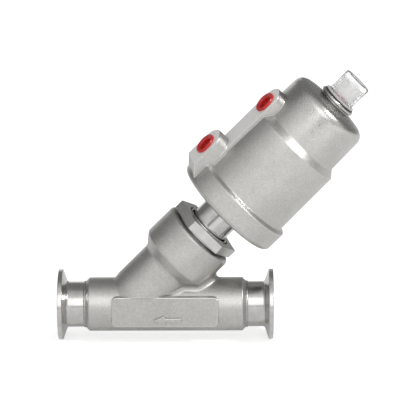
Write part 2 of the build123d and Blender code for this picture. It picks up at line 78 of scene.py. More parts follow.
cameraSetup = {
    "lookAt": (0.0687, 0, 0.0520),
    "farFrom": (0.076, 0, 0.050),  # the camera stands off from this point
    "elevation": 14.5,  # degrees
    "distance": 1.121,
    "roll": -0.25,  # degrees
    "lens": 210,
    "sensor": 36,
    "sight": 20,
}


def placeCamera(setup):
    lens = bpy.data.cameras.new("camera")
    lens.lens = setup["lens"]
    lens.sensor_width = setup["sensor"]
    lens.clip_end = setup["sight"]
    camera = bpy.data.objects.new("camera", lens)
    bpy.context.scene.collection.objects.link(camera)
    rise = radians(setup["elevation"])
    away = Vector((0, -cos(rise), sin(rise)))
    camera.location = Vector(setup["farFrom"]) + setup["distance"] * away
    aim = Vector(setup["lookAt"]) - camera.location
    roll = Matrix.Rotation(radians(setup["roll"]), 3, "Z")
    camera.rotation_euler = (aim.to_track_quat("-Z", "Y").to_matrix() @ roll).to_euler()
    bpy.context.scene.camera = camera


placeCamera(cameraSetup)
print("camera placed")


# Puts a fixed value on a socket, or links what another node gives
def feed(tree, value, socket):
    if isinstance(value, (float, tuple)):
        socket.default_value = value
    else:
        tree.links.new(value, socket)


def worked(tree, kind, first, second):
    step = tree.nodes.new("ShaderNodeMath")
    step.operation = kind
    feed(tree, first, step.inputs[0])
    feed(tree, second, step.inputs[1])
    return step.outputs[0]


def fitted(tree, value, fromLow, fromHigh, toLow=0.0, toHigh=1.0):
    fit = tree.nodes.new("ShaderNodeMapRange")
    limits = {"From Min": fromLow, "From Max": fromHigh, "To Min": toLow, "To Max": toHigh}
    for name, limit in limits.items():
        fit.inputs[name].default_value = limit
    tree.links.new(value, fit.inputs["Value"])
    return fit.outputs["Result"]


def ramp(tree, value, stops):
    band = tree.nodes.new("ShaderNodeValToRGB")
    for end, (spot, colour) in zip(band.color_ramp.elements, (stops[0], stops[-1])):
        end.position = spot
        end.color = colour
    tree.links.new(value, band.inputs["Fac"])
    return band.outputs["Color"]


def mixColour(tree, kind, share, first, second):
    blend = tree.nodes.new("ShaderNodeMix")
    blend.data_type = "RGBA"
    blend.blend_type = kind
    feed(tree, share, blend.inputs[0])
    feed(tree, first, blend.inputs[6])
    feed(tree, second, blend.inputs[7])
    return blend.outputs[2]


def noise(tree, place, size, detail=2.0, rough=0.5):
    grain = tree.nodes.new("ShaderNodeTexNoise")
    grain.inputs["Scale"].default_value = 1 / size
    grain.inputs["Detail"].default_value = detail
    grain.inputs["Roughness"].default_value = rough
    tree.links.new(place, grain.inputs["Vector"])
    return grain.outputs["Fac"]


# Noise lies mostly between 0.3 and 0.7, and this widens it to the finish's own range
def spread(tree, value, low, high):
    return fitted(tree, value, 0.3, 0.7, low, high)


def bump(tree, height, depth, below=None):
    relief = tree.nodes.new("ShaderNodeBump")
    relief.inputs["Distance"].default_value = depth
    relief.inputs["Strength"].default_value = 1
    tree.links.new(height, relief.inputs["Height"])
    if below is not None:
        tree.links.new(below, relief.inputs["Normal"])
    return relief.outputs["Normal"]


# Distance of a point from a start point, measured along a direction
def along(tree, place, direction, start):
    reach = tree.nodes.new("ShaderNodeVectorMath")
    reach.operation = "DOT_PRODUCT"
    reach.inputs[1].default_value = direction
    tree.links.new(place, reach.inputs[0])
    return worked(tree, "SUBTRACT", reach.outputs["Value"], start.dot(direction))


# 1 where the eye meets the surface or the sky, straight, mirrored or through glass, and 0 for plain light
def lightPathMask(tree, glossy=1.0):
    path = tree.nodes.new("ShaderNodeLightPath")
    mirrored = worked(tree, "MULTIPLY", path.outputs["Is Glossy Ray"], glossy)
    seen = worked(tree, "MAXIMUM", path.outputs["Is Camera Ray"], mirrored)
    return worked(tree, "MAXIMUM", seen, path.outputs["Is Transmission Ray"])


def bareMaterial(name):
    material = bpy.data.materials.new(name)
    material.use_nodes = True
    tree = material.node_tree
    tree.nodes.clear()
    out = tree.nodes.new("ShaderNodeOutputMaterial")
    return material, tree, out.inputs["Surface"]


def glowing(tree, colour, strength=1.0):
    glow = tree.nodes.new("ShaderNodeEmission")
    feed(tree, colour, glow.inputs["Color"])
    feed(tree, strength, glow.inputs["Strength"])
    return glow.outputs[0]


white = (1.0, 1.0, 1.0, 1.0)
sky = {"light": 0.56}


def buildSky(setup):
    world = bpy.data.worlds.new("studioWorld")
    bpy.context.scene.world = world
    world.use_nodes = True
    tree = world.node_tree
    tree.nodes.clear()
    out = tree.nodes.new("ShaderNodeOutputWorld")
    mix = tree.nodes.new("ShaderNodeMixShader")
    tree.links.new(lightPathMask(tree), mix.inputs[0])
    for strength, socket in ((setup["light"], mix.inputs[1]), (1.0, mix.inputs[2])):
        shade = tree.nodes.new("ShaderNodeBackground")
        shade.inputs["Color"].default_value = white
        shade.inputs["Strength"].default_value = strength
        tree.links.new(shade.outputs[0], socket)
    tree.links.new(mix.outputs[0], out.inputs["Surface"])


floorSetup = {
    "size": 8,
    "middle": 0.07,
    "colour": (0.84, 0.84, 0.84, 1),
    "glow": 0.58,
    "shine": 0.35,  # share of the glow that metal sees in its reflections
}


def buildFloor(setup):
    bpy.ops.mesh.primitive_plane_add(size=setup["size"], location=(setup["middle"], 0, floorHeight))
    floor = bpy.context.object
    floor.name = "floor"
    paint, tree, surface = bareMaterial("floorPaint")
    matt = tree.nodes.new("ShaderNodeBsdfDiffuse")
    matt.inputs["Color"].default_value = setup["colour"]
    strength = worked(tree, "MULTIPLY", lightPathMask(tree, setup["shine"]), setup["glow"])
    both = tree.nodes.new("ShaderNodeAddShader")
    tree.links.new(matt.outputs[0], both.inputs[0])
    tree.links.new(glowing(tree, white, strength), both.inputs[1])
    tree.links.new(both.outputs[0], surface)
    floor.data.materials.append(paint)


def seenInGlossOnly(screen, cloth):
    for kind in ("camera", "diffuse", "transmission", "volume_scatter", "shadow"):
        setattr(screen, "visible_" + kind, False)
    screen.data.materials.append(cloth)


tent = {
    "centre": (0.075, 0, 0.05),
    "radius": 2.4,
    "front": -0.62,  # where the cloth begins, as a share of the radius along Y
    "fade": 0.12,  # and where it is as grey as it gets
    "grey": (0.27, 0.27, 0.27, 1),
    "segments": 96,
    "rings": 48,
}


# Grey cloth over, beside and behind the object, seen by the metal alone
def buildTent(setup):
    bpy.ops.object.select_all(action="DESELECT")
    bpy.ops.mesh.primitive_uv_sphere_add(
        segments=setup["segments"], ring_count=setup["rings"], radius=setup["radius"],
        location=setup["centre"],
    )
    screen = bpy.context.object
    screen.name = "greyTent"
    front = setup["front"] * setup["radius"]
    bpy.ops.object.mode_set(mode="EDIT")
    for point, outward in (((0, front, 0), (0, 1, 0)), ((0, 0, floorHeight - mm), (0, 0, 1))):
        bpy.ops.mesh.select_all(action="SELECT")
        bpy.ops.mesh.bisect(plane_co=point, plane_no=outward, clear_inner=True)
    bpy.ops.object.mode_set(mode="OBJECT")
    cloth, tree, surface = bareMaterial("tentCloth")
    place = tree.nodes.new("ShaderNodeTexCoord")
    split = tree.nodes.new("ShaderNodeSeparateXYZ")
    tree.links.new(place.outputs["Object"], split.inputs[0])
    depth = fitted(tree, split.outputs["Y"], front, setup["fade"] * setup["radius"])
    shade = ramp(tree, depth, ((0, white), (1, setup["grey"])))
    tree.links.new(glowing(tree, shade), surface)
    seenInGlossOnly(screen, cloth)


card = {
    "grey": (0.45, 0.45, 0.45, 1),
    "middle": 0.07,
    "away": 1.7,
    "width": 5,
    "foot": 0.02,
    "top": 0.26,
}


# Grey card in front, so that metal facing the camera doesn't mirror white alone
def buildCard(setup):
    bpy.ops.object.select_all(action="DESELECT")
    bpy.ops.mesh.primitive_plane_add(
        size=1, location=(setup["middle"], -setup["away"], (setup["foot"] + setup["top"]) / 2),
        rotation=(pi / 2, 0, 0),
    )
    screen = bpy.context.object
    screen.name = "frontCard"
    screen.scale = (setup["width"], setup["top"] - setup["foot"], 1)
    felt, tree, surface = bareMaterial("cardFelt")
    tree.links.new(glowing(tree, setup["grey"]), surface)
    seenInGlossOnly(screen, felt)


lamps = {
    "key": {"power": 2.9, "size": 0.9, "place": (0.10, -1.15, 0.60)},
    "spark": {"power": 6.5, "size": 0.18, "place": (0.98, -0.46, 0.80)},
    "back": {"power": 1.6, "size": 0.9, "place": (-0.3, 1.3, 0.15)},
    "low": {"power": 0.15, "size": 0.45, "place": (0.17, -0.36, -0.012), "aim": (0, 0, 1)},
}


def placeLamp(name, setup):
    lamp = bpy.data.lights.new(name + "Light", "AREA")
    lamp.energy = setup["power"]
    lamp.size = setup["size"]
    light = bpy.data.objects.new(name + "Light", lamp)
    bpy.context.scene.collection.objects.link(light)
    light.location = setup["place"]
    aim = Vector(setup.get("aim", Vector(tent["centre"]) - light.location))
    light.rotation_euler = aim.to_track_quat("-Z", "Y").to_euler()
    light.visible_camera = False


buildSky(sky)
buildFloor(floorSetup)
buildTent(tent)
buildCard(card)
for name, setup in lamps.items():
    placeLamp(name, setup)
print("studio ready")


def startMaterial(name):
    material = bpy.data.materials.new(name)
    material.use_nodes = True
    tree = material.node_tree
    place = tree.nodes.new("ShaderNodeTexCoord")
    return material, tree, tree.nodes["Principled BSDF"], place.outputs["Object"]


castFinish = {
    "dark": (0.455, 0.449, 0.430, 1),
    "light": (0.535, 0.529, 0.510, 1),
    "patchSize": 14 * mm,
    "grainSize": 0.6 * mm,
    "fineSize": 0.22 * mm,
    "roughLow": 0.36,
    "roughHigh": 0.46,
    "grainDepth": 0.045 * mm,
    "fineDepth": 0.014 * mm,
    "speckle": 0.12,  # how much the grain darkens and lightens the colour
    "edgeRound": 0.6 * mm,
    "edgeStart": 0.995,  # cosine between the flat and the rounded surface where the painted highlight begins
    "edgeFull": 0.93,
    "edgeHighlight": 0.85,  # how far the painted edge highlight goes towards bright metal
    # colour of the painted edge highlight, bright metal
    "highlightColour": (0.90, 0.89, 0.87, 1),
    # Corner settings: how far the occlusion mask reaches and how much painted shade it leaves
    "cornerReach": 1.6 * mm,
    "cornerDeep": 0.42,  # how open a corner is where it is darkest
    "cornerOpen": 0.90,
    "cornerShade": 0.36,  # share of the colour left deep in a corner, as painted shade
    "samples": 8,
}
housingFinish = {
    "glossFrom": 0.120,  # height along the stem where the crown starts to shine
    "glossFull": 0.132,
    "glossShare": 0.62,
    "groundAndLitColour": (0.84, 0.83, 0.81, 1),  # machined faces of the air ports: partly their own ground finish, partly painted light that lightens them
    "groundMetal": 0.2,
    "plugShank": 1.8 * mm,
    "faceDepth": 0.08 * mm,
    "barFrom": 0.086,  # height along the stem where the bar between the ports begins
    "barFade": 0.4 * mm,
}


# Mask of the flat faces that the air ports open on
def groundFaces(tree, place, height, finish):
    masks = []
    for mount, node in (("lower_air_port", "lower_port_plug"), ("upper_air_port", "upper_port_plug")):
        out = Vector(next(m["axis"] for m in frame["record"]["mounts"] if m["name"] == mount))
        back = min(nodes[node].data.vertices, key=lambda point: point.co.dot(out)).co
        off = along(tree, place, out, back + finish["plugShank"] * out)
        away = worked(tree, "ABSOLUTE", off, 0.0)
        masks.append(fitted(tree, away, 2 * finish["faceDepth"], finish["faceDepth"]))
    above = fitted(tree, height, finish["barFrom"], finish["barFrom"] + finish["barFade"])
    return worked(tree, "MAXIMUM", masks[0], worked(tree, "MULTIPLY", masks[1], above))


def castSteel(name, finish, housing=None):
    material, tree, shader, place = startMaterial(name)
    patch = noise(tree, place, finish["patchSize"], 5, 0.65)
    grain = noise(tree, place, finish["grainSize"], 3, 0.6)
    fine = noise(tree, place, finish["fineSize"], 2, 0.5)
    colour = ramp(tree, patch, ((0.25, finish["dark"]), (0.75, finish["light"])))
    low, high = 1 - finish["speckle"], 1 + finish["speckle"]
    speckle = ramp(tree, grain, ((0.35, (low, low, low, 1)), (0.65, (high, high, high, 1))))
    colour = mixColour(tree, "MULTIPLY", 1.0, colour, speckle)

    # Painted highlight on the edges, lightening them towards bright metal, and painted shade in the corners, from
    # an occlusion mask
    rounded = tree.nodes.new("ShaderNodeBevel")
    rounded.samples = finish["samples"]
    rounded.inputs["Radius"].default_value = finish["edgeRound"]
    surface = tree.nodes.new("ShaderNodeNewGeometry")
    facing = tree.nodes.new("ShaderNodeVectorMath")
    facing.operation = "DOT_PRODUCT"
    tree.links.new(rounded.outputs["Normal"], facing.inputs[0])
    tree.links.new(surface.outputs["Normal"], facing.inputs[1])
    flatness = facing.outputs["Value"]
    # Painted highlight: share of bright metal mixed in where the edges are rounded
    edgeHighlightShare = fitted(tree, flatness, finish["edgeStart"], finish["edgeFull"], 0.0, finish["edgeHighlight"])
    colour = mixColour(tree, "MIX", edgeHighlightShare, colour, finish["highlightColour"])
    # Painted shade: the colour is darkened where the occlusion node finds the surface closed in
    corner = tree.nodes.new("ShaderNodeAmbientOcclusion")
    corner.samples = finish["samples"]
    corner.inputs["Distance"].default_value = finish["cornerReach"]
    openness = corner.outputs["AO"]
    left = fitted(tree, openness, finish["cornerDeep"], finish["cornerOpen"], finish["cornerShade"], 1.0)
    shade = tree.nodes.new("ShaderNodeCombineColor")
    for channel in ("Red", "Green", "Blue"):
        tree.links.new(left, shade.inputs[channel])
    colour = mixColour(tree, "MULTIPLY", 1.0, colour, shade.outputs["Color"])

    rough = spread(tree, grain, finish["roughLow"], finish["roughHigh"])
    shader.inputs["Metallic"].default_value = 1
    if housing:
        height = along(tree, place, stemAxis, stemFoot)
        share = fitted(tree, height, housing["glossFrom"], housing["glossFull"], 1.0, housing["glossShare"])
        rough = worked(tree, "MULTIPLY", rough, share)
        # Machined port faces: a lighter, less metallic colour, partly their ground finish and partly painted light
        ground = groundFaces(tree, place, height, housing)
        colour = mixColour(tree, "MIX", ground, colour, housing["groundAndLitColour"])
        metal = fitted(tree, ground, 0.0, 1.0, 1.0, housing["groundMetal"])
        tree.links.new(metal, shader.inputs["Metallic"])
    tree.links.new(colour, shader.inputs["Base Color"])
    tree.links.new(rough, shader.inputs["Roughness"])
    coarse = bump(tree, grain, finish["grainDepth"], below=rounded.outputs["Normal"])
    tree.links.new(bump(tree, fine, finish["fineDepth"], below=coarse), shader.inputs["Normal"])
    return material


# Colour, gloss and bump, each taken from a noise pattern
def finishWith(tree, shader, finish, tint, marks, depth):
    colour = ramp(tree, tint, ((0.3, finish["dark"]), (0.7, finish["light"])))
    tree.links.new(colour, shader.inputs["Base Color"])
    tree.links.new(spread(tree, marks, finish["roughLow"], finish["roughHigh"]), shader.inputs["Roughness"])
    tree.links.new(bump(tree, marks, depth), shader.inputs["Normal"])


polishedFinish = {
    "dark": (0.47, 0.463, 0.45, 1),
    "light": (0.58, 0.573, 0.56, 1),
    "roughLow": 0.17,
    "roughHigh": 0.28,
    "markWidth": 0.35 * mm,  # spacing of the turning marks
    "markDepth": 0.0025 * mm,
    "markLength": 50,  # times their width
    "smearSize": 4 * mm,
}
turnedFinish = {
    "dark": (0.56, 0.55, 0.535, 1),
    "light": (0.66, 0.65, 0.635, 1),
    "roughLow": 0.24,
    "roughHigh": 0.34,
    "markWidth": 0.5 * mm,
    "markDepth": 0.006 * mm,
    "markLength": 50,
    "smearSize": 3 * mm,
}
aluminiumFinish = turnedFinish | {
    "dark": (0.62, 0.62, 0.63, 1),
    "light": (0.74, 0.74, 0.75, 1),
    "roughLow": 0.28,
    "roughHigh": 0.38,
}
# Polished tube: smoother than the polished finish, its colour a little darker as painted shade for the dark it
# mirrors from the actuator above
shadedTubeFinish = polishedFinish | {
    "dark": (0.44, 0.435, 0.425, 1),
    "light": (0.56, 0.555, 0.545, 1),
    "roughLow": 0.08,
    "roughHigh": 0.16,
    "markDepth": 0.0015 * mm,
}
onStem = pi / 2 - stemTilt
onPipe = pi / 2


# Turned metal: fine rings round an axis, which a Mapping node lays along local Z
def turnedMetal(name, finish, tilt):
    material, tree, shader, place = startMaterial(name)
    lie = tree.nodes.new("ShaderNodeMapping")
    lie.vector_type = "TEXTURE"
    lie.inputs["Rotation"].default_value = (0, tilt, 0)
    tree.links.new(place, lie.inputs["Vector"])
    stretch = tree.nodes.new("ShaderNodeMapping")
    across = 1 / finish["markLength"]
    stretch.inputs["Scale"].default_value = (across, across, 1)
    tree.links.new(lie.outputs["Vector"], stretch.inputs["Vector"])
    marks = noise(tree, stretch.outputs["Vector"], finish["markWidth"], 3, 0.6)
    smear = noise(tree, place, finish["smearSize"], 3, 0.6)
    finishWith(tree, shader, finish, smear, marks, finish["markDepth"])
    shader.inputs["Metallic"].default_value = 1
    return material


redFinish = {
    "dark": (0.46, 0.012, 0.012, 1),
    "light": (0.60, 0.022, 0.020, 1),
    "roughLow": 0.16,
    "roughHigh": 0.24,
    "grainSize": 0.5 * mm,
    "grainDepth": 0.008 * mm,
}
rubberFinish = {
    "dark": (0.018, 0.018, 0.018, 1),
    "light": (0.035, 0.035, 0.034, 1),
    "roughLow": 0.5,
    "roughHigh": 0.65,
    "grainSize": 0.4 * mm,
    "grainDepth": 0.012 * mm,
}
sealFinish = {
    "dark": (0.78, 0.78, 0.75, 1),
    "light": (0.86, 0.86, 0.84, 1),
    "roughLow": 0.38,
    "roughHigh": 0.5,
    "grainSize": 0.6 * mm,
    "grainDepth": 0.008 * mm,
}


def mouldedPlastic(name, finish):
    material, tree, shader, place = startMaterial(name)
    grain = noise(tree, place, finish["grainSize"], 3, 0.55)
    finishWith(tree, shader, finish, grain, grain, finish["grainDepth"])
    return material


clearFinish = {
    "dark": (0.76, 0.765, 0.765, 1),
    "light": (0.82, 0.825, 0.825, 1),
    "roughLow": 0.10,
    "roughHigh": 0.16,
    "flowSize": 5 * mm,
    "flowDepth": 0.002 * mm,
    "index": 1.36,
    "clear": 1.0,  # share of the light that goes through
}


def clearPlastic(name, finish):
    material, tree, shader, place = startMaterial(name)
    flow = noise(tree, place, finish["flowSize"], 3, 0.5)
    finishWith(tree, shader, finish, flow, flow, finish["flowDepth"])
    shader.inputs["Transmission Weight"].default_value = finish["clear"]
    shader.inputs["IOR"].default_value = finish["index"]
    return material


finishOf = {
    "cast_steel": castSteel("blastedCasting", castFinish),
    "polished_steel": turnedMetal("polishedOnStem", polishedFinish, onStem),
    "machined_steel": turnedMetal("turnedSteel", turnedFinish, onStem),
    "aluminium": turnedMetal("turnedAluminium", aluminiumFinish, onStem),
    "ptfe": mouldedPlastic("whiteSeal", sealFinish),
    "black_rubber": mouldedPlastic("blackRubber", rubberFinish),
    "red_plastic": mouldedPlastic("redPlastic", redFinish),
    "clear_plastic": clearPlastic("clearPlastic", clearFinish),
}
pipePolish = turnedMetal("polishedOnPipe", polishedFinish, onPipe)
ownFinish = {
    "outlet_ferrule": pipePolish,
    "inlet_ferrule": pipePolish,
    "bonnet_tube": turnedMetal("polishedTube", shadedTubeFinish, onStem),
    "actuator_housing": castSteel("blastedHousing", castFinish, housingFinish),
}
for name, node in nodes.items():
    node.data.materials.clear()
    node.data.materials.append(ownFinish.get(name, finishOf[slotOf[name]]))
print("finishes ready")


def onlySelect(piece):
    bpy.ops.object.select_all(action="DESELECT")
    piece.select_set(True)
    bpy.context.view_layer.objects.active = piece


# Goes into edit mode with the faces selected that pass the test
def editFaces(piece, test):
    onlySelect(piece)
    bpy.ops.object.mode_set(mode="EDIT")
    bpy.ops.mesh.select_all(action="DESELECT")
    bpy.ops.mesh.select_mode(type="FACE")
    bpy.ops.object.mode_set(mode="OBJECT")
    for face in piece.data.polygons:
        face.select = test(face)
    bpy.ops.object.mode_set(mode="EDIT")


def applyAll(piece):
    onlySelect(piece)
    for step in list(piece.modifiers):
        bpy.ops.object.modifier_apply(modifier=step.name)


def closeUp(piece, smoothAngle=35):
    onlySelect(piece)
    bpy.ops.object.mode_set(mode="EDIT")
    bpy.ops.mesh.select_all(action="SELECT")
    bpy.ops.mesh.remove_doubles(threshold=0.001 * mm)
    bpy.ops.mesh.normals_make_consistent(inside=False)
    bpy.ops.object.mode_set(mode="OBJECT")
    bpy.ops.object.shade_smooth_by_angle(angle=radians(smoothAngle))


# Moves a finished piece's place into its mesh and hands it to its body
def setDown(piece, place, finish, body):
    piece.data.transform(place @ piece.matrix_world)
    piece.matrix_world = Matrix.Identity(4)
    piece.data.materials.clear()
    piece.data.materials.append(finish)
    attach(piece, body)


# Lowest and highest point of a node, as heights along the stem
def alongStem(node):
    heights = [(point.co - stemFoot).dot(stemAxis) for point in nodes[node].data.vertices]
    return min(heights), max(heights)


# Place, outward direction, turn and length of an air port
def portOf(mount):
    port = next(m for m in frame["record"]["mounts"] if m["name"] == mount)
    away = Vector(port["axis"])
    facing = away.to_track_quat("Z", "Y").to_matrix().to_4x4()
    return Vector(port["pos_m"]), away, facing, port["dims"]["length_mm"] * mm


# Ring turned from a cut profile: a flat ring of radius, height points spun round local Z
def spunRing(name, profile, steps):
    bpy.ops.object.select_all(action="DESELECT")
    bpy.ops.mesh.primitive_circle_add(vertices=len(profile), radius=mm)
    ring = bpy.context.object
    ring.name = name
    for point, (radius, height) in zip(ring.data.vertices, profile):
        point.co = (radius, 0, height)
    onlySelect(ring)
    bpy.ops.object.mode_set(mode="EDIT")
    bpy.ops.mesh.select_all(action="SELECT")
    bpy.ops.mesh.spin(steps=steps, angle=2 * pi, center=(0, 0, 0), axis=(0, 0, 1))
    bpy.ops.object.mode_set(mode="OBJECT")
    closeUp(ring)
    return ring


weld = {
    "tubeRadius": 10.95 * mm,
    "beadHeight": 0.42 * mm,
    "beadWidth": 1.5 * mm,
    "sunk": 0.3 * mm,
    "arcSteps": 8,
    "rippleSize": 0.9 * mm,
    "rippleDepth": 0.16 * mm,
    "steps": 288,
}
weldFinish = castFinish | {
    "dark": (0.30, 0.295, 0.28, 1),
    "light": (0.52, 0.51, 0.49, 1),
    "patchSize": 2.5 * mm,
    "roughLow": 0.26,
    "roughHigh": 0.38,
}
weldMetal = castSteel("weldMetal", weldFinish)


# Low butt-weld bead between a ferrule and the casting
def weldBead(name, x, setup):
    half, surface = setup["beadWidth"] / 2, setup["tubeRadius"]
    inner = surface - setup["sunk"]
    profile = [(inner, -half), (surface, -half)]
    for step in range(1, setup["arcSteps"]):
        turn = pi * step / setup["arcSteps"]
        profile.append((surface + setup["beadHeight"] * sin(turn), -half * cos(turn)))
    profile += [(surface, half), (inner, half)]
    bead = spunRing(name, profile, setup["steps"])
    ripple = bpy.data.textures.new(name + "Ripple", "CLOUDS")
    ripple.noise_scale = setup["rippleSize"]
    ripple.noise_depth = 1
    raised = bead.modifiers.new("ripple", "DISPLACE")
    raised.texture = ripple
    raised.strength = setup["rippleDepth"]
    raised.mid_level = 0.5
    applyAll(bead)
    turned = Matrix.Translation((x, 0, 0)) @ Matrix.Rotation(pi / 2, 4, "Y")
    setDown(bead, turned, weldMetal, "valve")


weldBead("outletWeld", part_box("outlet_ferrule")[1].x, weld)
weldBead("inletWeld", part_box("inlet_ferrule")[0].x, weld)
print("weld beads laid")

arrow = {
    "middle": 53.0 * mm,  # along the pipe
    "length": 13.0 * mm,
    "headLength": 5.0 * mm,
    "headWidth": 4.4 * mm,
    "shaftWidth": 2.0 * mm,
    "tipShare": 0.06,  # of the head's width, left at its point
    "centreHeight": -4.3 * mm,
    "relief": 0.55 * mm,
    "sunk": 0.4 * mm,
    "edge": 0.16 * mm,
    "edgeSteps": 3,
}


# Raised flow arrow on the casting's panel, pointing to the outlet
def flowArrow(setup):
    flats = [f for f in nodes["valve_body"].data.polygons if f.normal.y < -0.999]
    face = max(flats, key=lambda f: f.area).center.y
    shaft = setup["length"] - setup["headLength"]
    start = setup["middle"] - setup["length"] / 2 + setup["headLength"]
    tip = start - setup["headLength"]
    depth = setup["relief"] + setup["sunk"]
    middle = (start + shaft / 2, face - setup["relief"] + depth / 2, setup["centreHeight"])
    bpy.ops.object.select_all(action="DESELECT")
    bpy.ops.mesh.primitive_cube_add(size=1, location=middle)
    piece = bpy.context.object
    piece.name = "flowArrow"
    piece.scale = (shaft, depth, setup["shaftWidth"])
    onlySelect(piece)
    bpy.ops.object.transform_apply(location=True, rotation=True, scale=True)
    editFaces(piece, lambda f: f.normal.x < -0.9)
    bpy.ops.mesh.extrude_region_move()
    wider = (1, 1, setup["headWidth"] / setup["shaftWidth"])
    bpy.ops.transform.resize(value=wider, center_override=(start, face, setup["centreHeight"]))
    bpy.ops.mesh.extrude_region_move(TRANSFORM_OT_translate={"value": (-setup["headLength"], 0, 0)})
    narrower = (1, 1, setup["tipShare"])
    bpy.ops.transform.resize(value=narrower, center_override=(tip, face, setup["centreHeight"]))
    bpy.ops.object.mode_set(mode="OBJECT")
    soft = piece.modifiers.new("castEdge", "BEVEL")
    soft.width = setup["edge"]
    soft.segments = setup["edgeSteps"]
    soft.limit_method = "ANGLE"
    applyAll(piece)
    closeUp(piece, 50)
    setDown(piece, Matrix.Identity(4), finishOf["cast_steel"], "valve")


flowArrow(arrow)
print("flow arrow cast")

nut = {
    "flats": 31.2 * mm,
    "turn": 0,  # degrees, so a flat faces the front
    "cornerCut": 0.45 * mm,
    "chamferSlope": 0.577,
    "edge": 0.16 * mm,
    "edgeSteps": 2,
    "hexHeight": 4.8 * mm,
    "bore": 10.25 * mm,
    "shank": 14.0 * mm,
    "shankOverlap": 0.02 * mm,
    "recess": 12.4 * mm,
    "recessFloor": 11.9 * mm,
    "recessDepth": 3.4 * mm,
    "spare": 0.2 * mm,  # how far a cutter stands past the metal
    "steps": 160,
}
nutFinish = turnedFinish | {
    "dark": (0.52, 0.515, 0.50, 1),
    "light": (0.60, 0.595, 0.58, 1),
    "roughLow": 0.34,
    "roughHigh": 0.42,
    "markDepth": 0.001 * mm,
}
nutMetal = turnedMetal("milledNut", nutFinish, onStem)


# Hexagon bonnet nut with sharp flats, a deep recess round the tube and a threaded shank below
def bonnetNut(setup):
    foot, top = alongStem("bonnet_nut")
    bottom = top - setup["hexHeight"]
    corner = setup["flats"] / 3 ** 0.5
    bpy.ops.object.select_all(action="DESELECT")
    bpy.ops.mesh.primitive_cylinder_add(
        vertices=6, radius=corner, depth=setup["hexHeight"], location=(0, 0, (top + bottom) / 2)
    )
    head = bpy.context.object
    head.name = "bonnetNutHead"
    head.rotation_euler = (0, 0, radians(setup["turn"] + 30))
    onlySelect(head)
    bpy.ops.object.transform_apply(location=True, rotation=True, scale=True)
    soft = head.modifiers.new("brokenEdge", "BEVEL")
    soft.width = setup["edge"]
    soft.segments = setup["edgeSteps"]

    flat, over = corner - setup["cornerCut"], corner + mm
    drop = (over - flat) * setup["chamferSlope"]
    above, below = top + setup["spare"], bottom - setup["spare"]
    bore, floor = setup["bore"], top - setup["recessDepth"]
    cutters = {
        "upperChamfer": [(flat, above), (over, above), (over, top - drop)],
        "lowerChamfer": [(flat, below), (over, below), (over, bottom + drop)],
        "nutHollow": [
            (0, bottom - mm), (bore, bottom - mm), (bore, floor), (setup["recessFloor"], floor),
            (setup["recess"], above), (0, above),
        ],
    }
    tools = [spunRing(name, profile, setup["steps"]) for name, profile in cutters.items()]
    for tool in tools:
        cut = head.modifiers.new("cut", "BOOLEAN")
        cut.operation = "DIFFERENCE"
        cut.solver = "EXACT"
        cut.object = tool
    applyAll(head)
    for tool in tools:
        bpy.data.objects.remove(tool)
    closeUp(head, 20)

    high = bottom + setup["shankOverlap"]
    wall = [(bore, foot), (setup["shank"], foot), (setup["shank"], high), (bore, high)]
    shank = spunRing("bonnetNutShank", wall, setup["steps"])
    for piece, metal in ((head, nutMetal), (shank, finishOf["machined_steel"])):
        setDown(piece, stemPlace, metal, "valve")
        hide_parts("bonnet_nut")


bonnetNut(nut)
print("bonnet nut made")

plug = {
    "rim": 5.2 * mm,
    "rimHeight": 1.15 * mm,
    "rimLift": 0.02 * mm,
    "lip": ((0, 0.35), (0.12, 0.10), (0.38, 0), (0.85, 0.05), (0.95, 0.25)),  # mm in from the rim and down
    "hollow": 3.35 * mm,
    "throat": ((0.25, 0.85), (0, 1.10)),  # mm out from the hollow and down
    "hollowDraft": 0.1 * mm,
    "hollowDepth": 2.4 * mm,
    "shank": 4.88 * mm,
    "shankLength": 1.8 * mm,
    "shankEdge": 0.3 * mm,
    "steps": 128,
}


# Hollow dust plug: a raised lip that slopes down into the hollow
def dustPlug(name, node, mount, body, setup):
    seat, away, facing = portOf(mount)[:3]
    back = min((point.co - seat).dot(away) for point in nodes[node].data.vertices)
    high, hollow = setup["rimHeight"], setup["hollow"]
    shank, end, edge = setup["shank"], -setup["shankLength"], setup["shankEdge"]
    floor = high - setup["hollowDepth"]
    profile = [(0, end), (shank - edge, end), (shank, end + edge), (shank, 0)]
    profile.append((setup["rim"], setup["rimLift"]))
    profile += [(setup["rim"] - inward * mm, high - down * mm) for inward, down in setup["lip"]]
    profile += [(hollow + out * mm, high - down * mm) for out, down in setup["throat"]]
    profile += [(hollow - setup["hollowDraft"], floor), (0, floor)]
    piece = spunRing(name, profile, setup["steps"])
    place = Matrix.Translation(seat + away * (back + setup["shankLength"])) @ facing
    setDown(piece, place, finishOf["red_plastic"], body)
    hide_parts(node)


dustPlug("lowerDustPlug", "lower_port_plug", "lower_air_port", "lower_plug", plug)
dustPlug("upperDustPlug", "upper_port_plug", "upper_air_port", "upper_plug", plug)
print("dust plugs made")

cap = {
    "outer": 7.15 * mm,
    "bore": 5.0 * mm,
    "boreEdge": 0.5 * mm,
    "flange": 8.4 * mm,
    "flangeHeight": 0.8 * mm,
    "flangeEdge": 0.2 * mm,
    "flangeLift": 0.05 * mm,
    "thread": 6.95 * mm,
    "roof": 2.7 * mm,
    "topRound": 0.7 * mm,
    "steps": 160,
}
frostFinish = {
    "dark": (0.86, 0.86, 0.85, 1),
    "light": (0.95, 0.95, 0.94, 1),
    "roughLow": 0.28,
    "roughHigh": 0.42,
    "flowSize": 2.5 * mm,
    "flowDepth": 0.01 * mm,
    "index": 1.25,
    "clear": 0.65,
}
baseFinish = frostFinish | {
    "dark": (0.50, 0.50, 0.49, 1),
    "light": (0.66, 0.66, 0.65, 1),
    "clear": 0.15,
}


